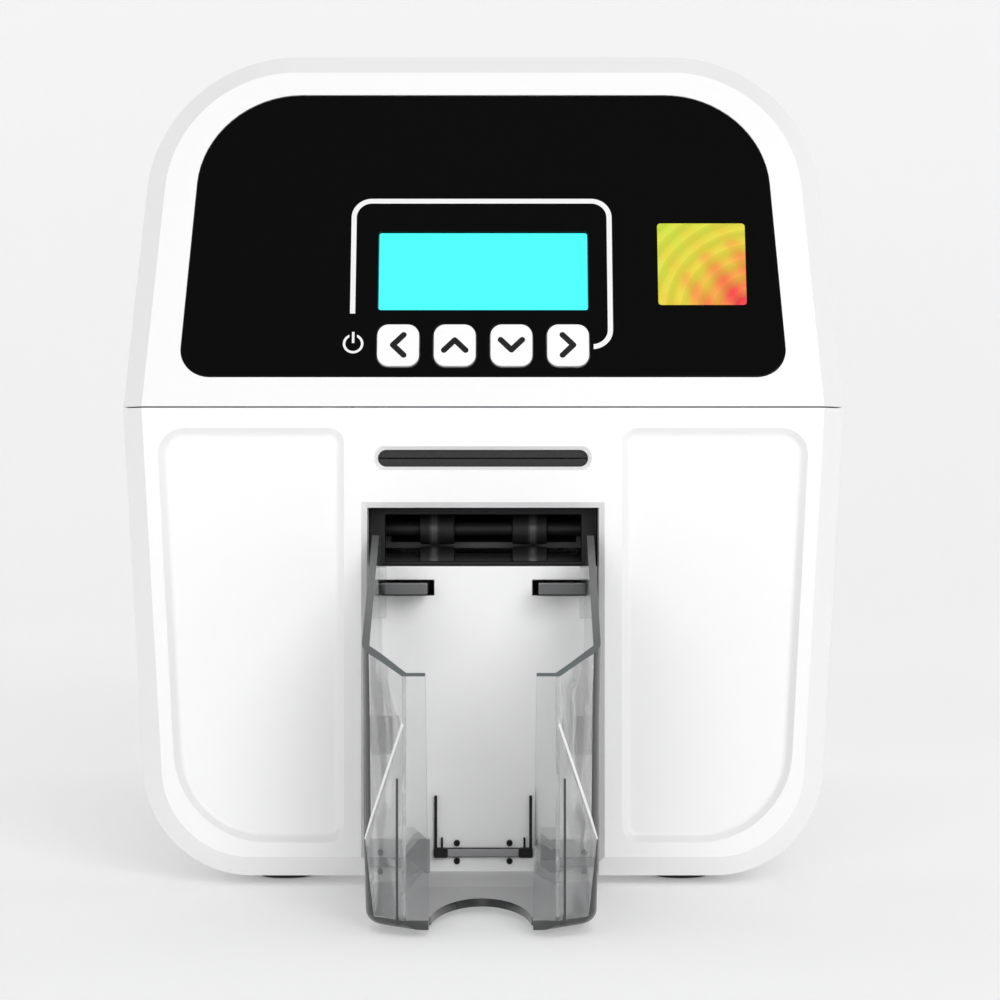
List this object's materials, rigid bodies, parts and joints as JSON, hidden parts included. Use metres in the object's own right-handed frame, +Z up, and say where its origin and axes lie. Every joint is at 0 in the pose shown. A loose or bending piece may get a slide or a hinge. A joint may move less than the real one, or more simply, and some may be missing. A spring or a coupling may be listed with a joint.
{
  "type": "id card printer",
  "caption": "Desktop card printer: white lower case, hinged lid with a black control panel and display, clear card hopper, and the rollers, ribbon and boards inside.",
  "frame": {"origin": "bottom centre of the object's box, level with the feet", "axes": "+X to the right of someone facing the control panel, the front faces -Y, +Z up"},
  "size_m": [0.2066, 0.4555, 0.243],
  "materials": {
    "white_case": "satin",
    "black_gloss": "polished",
    "clear_grey": "polished",
    "display_cyan": "glowing",
    "key_white": "satin",
    "foil": "foil",
    "rubber_dark": "matt",
    "sheet_steel": "zinc plated",
    "steel": "ground",
    "plastic_dark": "fine texture",
    "plastic_pale": "moulded",
    "alu": "extruded",
    "board_green": "lacquered",
    "ceramic_brown": "glazed",
    "film": "film",
    "brass": "turned"
  },
  "bodies": {
    "case": {"base_shell": "white_case", "feet": "rubber_dark", "chassis": "sheet_steel", "chassis_screws": "steel", "bushes": "plastic_pale", "upper_guide": "plastic_dark", "rear_guide": "plastic_dark", "exit_chute": "plastic_dark", "transport_belt": "rubber_dark", "motor_belt": "rubber_dark", "exit_belt": "rubber_dark", "feed_motor": "steel", "ribbon_cassette": "plastic_pale", "ribbon_film": "film", "ribbon_motor": "steel", "card_magazine": "plastic_dark", "standoffs": "brass", "main_board": "board_green", "power_supply": "sheet_steel", "rear_panel": "sheet_steel", "power_inlet": "plastic_dark", "network_socket": "steel", "data_socket": "steel", "fan_frame": "plastic_dark", "bay_panel": "white_case", "exit_bezel": "plastic_dark", "hopper_clip": "plastic_dark"},
    "hopper": {"card_hopper": "clear_grey"},
    "lid": {"lid_shell": "white_case", "control_panel": "black_gloss", "display_module": "alu", "display_glass": "display_cyan", "panel_board": "board_green", "key_mat": "rubber_dark", "foil_label": "foil", "head_bracket": "sheet_steel", "heat_sink": "alu", "print_head": "ceramic_brown", "hinge_pins": "steel"},
    "key_back": {"key_back": "key_white"},
    "key_up": {"key_up": "key_white"},
    "key_down": {"key_down": "key_white"},
    "key_next": {"key_next": "key_white"},
    "platen": {"platen_roller": "rubber_dark"},
    "inlet": {"inlet_roller": "rubber_dark"},
    "feed": {"feed_roller": "rubber_dark"},
    "pick": {"pick_roller": "rubber_dark"},
    "eject": {"eject_roller": "rubber_dark"},
    "exit": {"exit_roller": "rubber_dark"},
    "inlet_idler": {"inlet_pinch": "rubber_dark"},
    "eject_idler": {"eject_pinch": "rubber_dark"},
    "feed_idler": {"feed_pinch": "rubber_dark"},
    "exit_idler": {"exit_pinch": "rubber_dark"},
    "motor_rotor": {"motor_pulley": "steel"},
    "gate": {"path_gate": "plastic_dark"},
    "supply": {"supply_spool": "plastic_pale"},
    "take_up": {"take_up_spool": "plastic_pale"},
    "weight": {"card_weight": "steel"},
    "switch": {"power_switch": "plastic_dark"},
    "fan": {"fan_rotor": "plastic_dark"}
  },
  "joints": [
    {"name": "lid_hinge", "type": "hinge", "parent": "case", "child": "lid", "pos_m": [0, 0.2175, 0.1372], "axis": [-1, 0, 0], "range_deg": [0, 75]},
    {"name": "hopper_slide", "type": "slide", "parent": "case", "child": "hopper", "axis": [0, -1, 0], "range_m": [0, 0.06]},
    {"name": "key_back_press", "type": "slide", "parent": "lid", "child": "key_back", "axis": [0, 0.9511, -0.309], "range_m": [0, 0.0008], "stiffness_N_per_m": 600, "springref_m": -0.0008},
    {"name": "key_up_press", "type": "slide", "parent": "lid", "child": "key_up", "axis": [0, 0.9511, -0.309], "range_m": [0, 0.0008], "stiffness_N_per_m": 600, "springref_m": -0.0008},
    {"name": "key_down_press", "type": "slide", "parent": "lid", "child": "key_down", "axis": [0, 0.9511, -0.309], "range_m": [0, 0.0008], "stiffness_N_per_m": 600, "springref_m": -0.0008},
    {"name": "key_next_press", "type": "slide", "parent": "lid", "child": "key_next", "axis": [0, 0.9511, -0.309], "range_m": [0, 0.0008], "stiffness_N_per_m": 600, "springref_m": -0.0008},
    {"name": "platen_spin", "type": "hinge", "parent": "case", "child": "platen", "pos_m": [0, 0.0205, 0.116], "axis": [1, 0, 0], "continuous": true},
    {"name": "inlet_spin", "type": "hinge", "parent": "case", "child": "inlet", "pos_m": [0, -0.0575, 0.116], "axis": [1, 0, 0], "continuous": true},
    {"name": "feed_spin", "type": "hinge", "parent": "case", "child": "feed", "pos_m": [0, 0.0875, 0.116], "axis": [1, 0, 0], "continuous": true},
    {"name": "pick_spin", "type": "hinge", "parent": "case", "child": "pick", "pos_m": [0, 0.1525, 0.116], "axis": [1, 0, 0], "continuous": true},
    {"name": "eject_spin", "type": "hinge", "parent": "case", "child": "eject", "pos_m": [0, -0.0415, 0.10563], "axis": [1, 0, 0], "continuous": true},
    {"name": "exit_spin", "type": "hinge", "parent": "case", "child": "exit", "pos_m": [0, -0.1135, 0.092], "axis": [1, 0, 0], "continuous": true},
    {"name": "inlet_idler_spin", "type": "hinge", "parent": "case", "child": "inlet_idler", "pos_m": [0, -0.0575, 0.1268], "axis": [1, 0, 0], "continuous": true},
    {"name": "eject_idler_spin", "type": "hinge", "parent": "case", "child": "eject_idler", "pos_m": [0, -0.0415, 0.11543], "axis": [1, 0, 0], "continuous": true},
    {"name": "feed_idler_spin", "type": "hinge", "parent": "case", "child": "feed_idler", "pos_m": [0, 0.0875, 0.1268], "axis": [1, 0, 0], "continuous": true},
    {"name": "exit_idler_spin", "type": "hinge", "parent": "case", "child": "exit_idler", "pos_m": [0, -0.1135, 0.1023], "axis": [1, 0, 0], "continuous": true},
    {"name": "motor_spin", "type": "hinge", "parent": "case", "child": "motor_rotor", "pos_m": [0, 0.0525, 0.062], "axis": [1, 0, 0], "continuous": true},
    {"name": "supply_spin", "type": "hinge", "parent": "case", "child": "supply", "pos_m": [0, 0.0675, 0.15], "axis": [1, 0, 0], "continuous": true},
    {"name": "take_up_spin", "type": "hinge", "parent": "case", "child": "take_up", "pos_m": [0, -0.0265, 0.15], "axis": [1, 0, 0], "continuous": true},
    {"name": "gate_swing", "type": "hinge", "parent": "case", "child": "gate", "pos_m": [0, -0.0215, 0.1196], "axis": [1, 0, 0], "range_deg": [-3, 3]},
    {"name": "weight_slide", "type": "slide", "parent": "case", "child": "weight", "axis": [0, 0, 1], "range_m": [0, 0.05]},
    {"name": "switch_rock", "type": "hinge", "parent": "case", "child": "switch", "pos_m": [0.034, 0.2204, 0.042], "axis": [-1, 0, 0], "range_deg": [0, 12]},
    {"name": "fan_spin", "type": "hinge", "parent": "case", "child": "fan", "pos_m": [-0.068, 0.2185, 0.086], "axis": [0, 1, 0], "continuous": true}
  ],
  "couplings": [
    {"joint": "inlet_spin", "follows": "platen_spin", "ratio": 1},
    {"joint": "feed_spin", "follows": "platen_spin", "ratio": 1},
    {"joint": "pick_spin", "follows": "platen_spin", "ratio": 1},
    {"joint": "eject_spin", "follows": "platen_spin", "ratio": 1},
    {"joint": "exit_spin", "follows": "platen_spin", "ratio": 1},
    {"joint": "inlet_idler_spin", "follows": "platen_spin", "ratio": -1.5},
    {"joint": "feed_idler_spin", "follows": "platen_spin", "ratio": -1.5},
    {"joint": "eject_idler_spin", "follows": "platen_spin", "ratio": -2.1429},
    {"joint": "exit_idler_spin", "follows": "platen_spin", "ratio": -1.1111},
    {"joint": "motor_spin", "follows": "platen_spin", "ratio": 2.5},
    {"joint": "take_up_spin", "follows": "supply_spin", "ratio": 1.7}
  ]
}
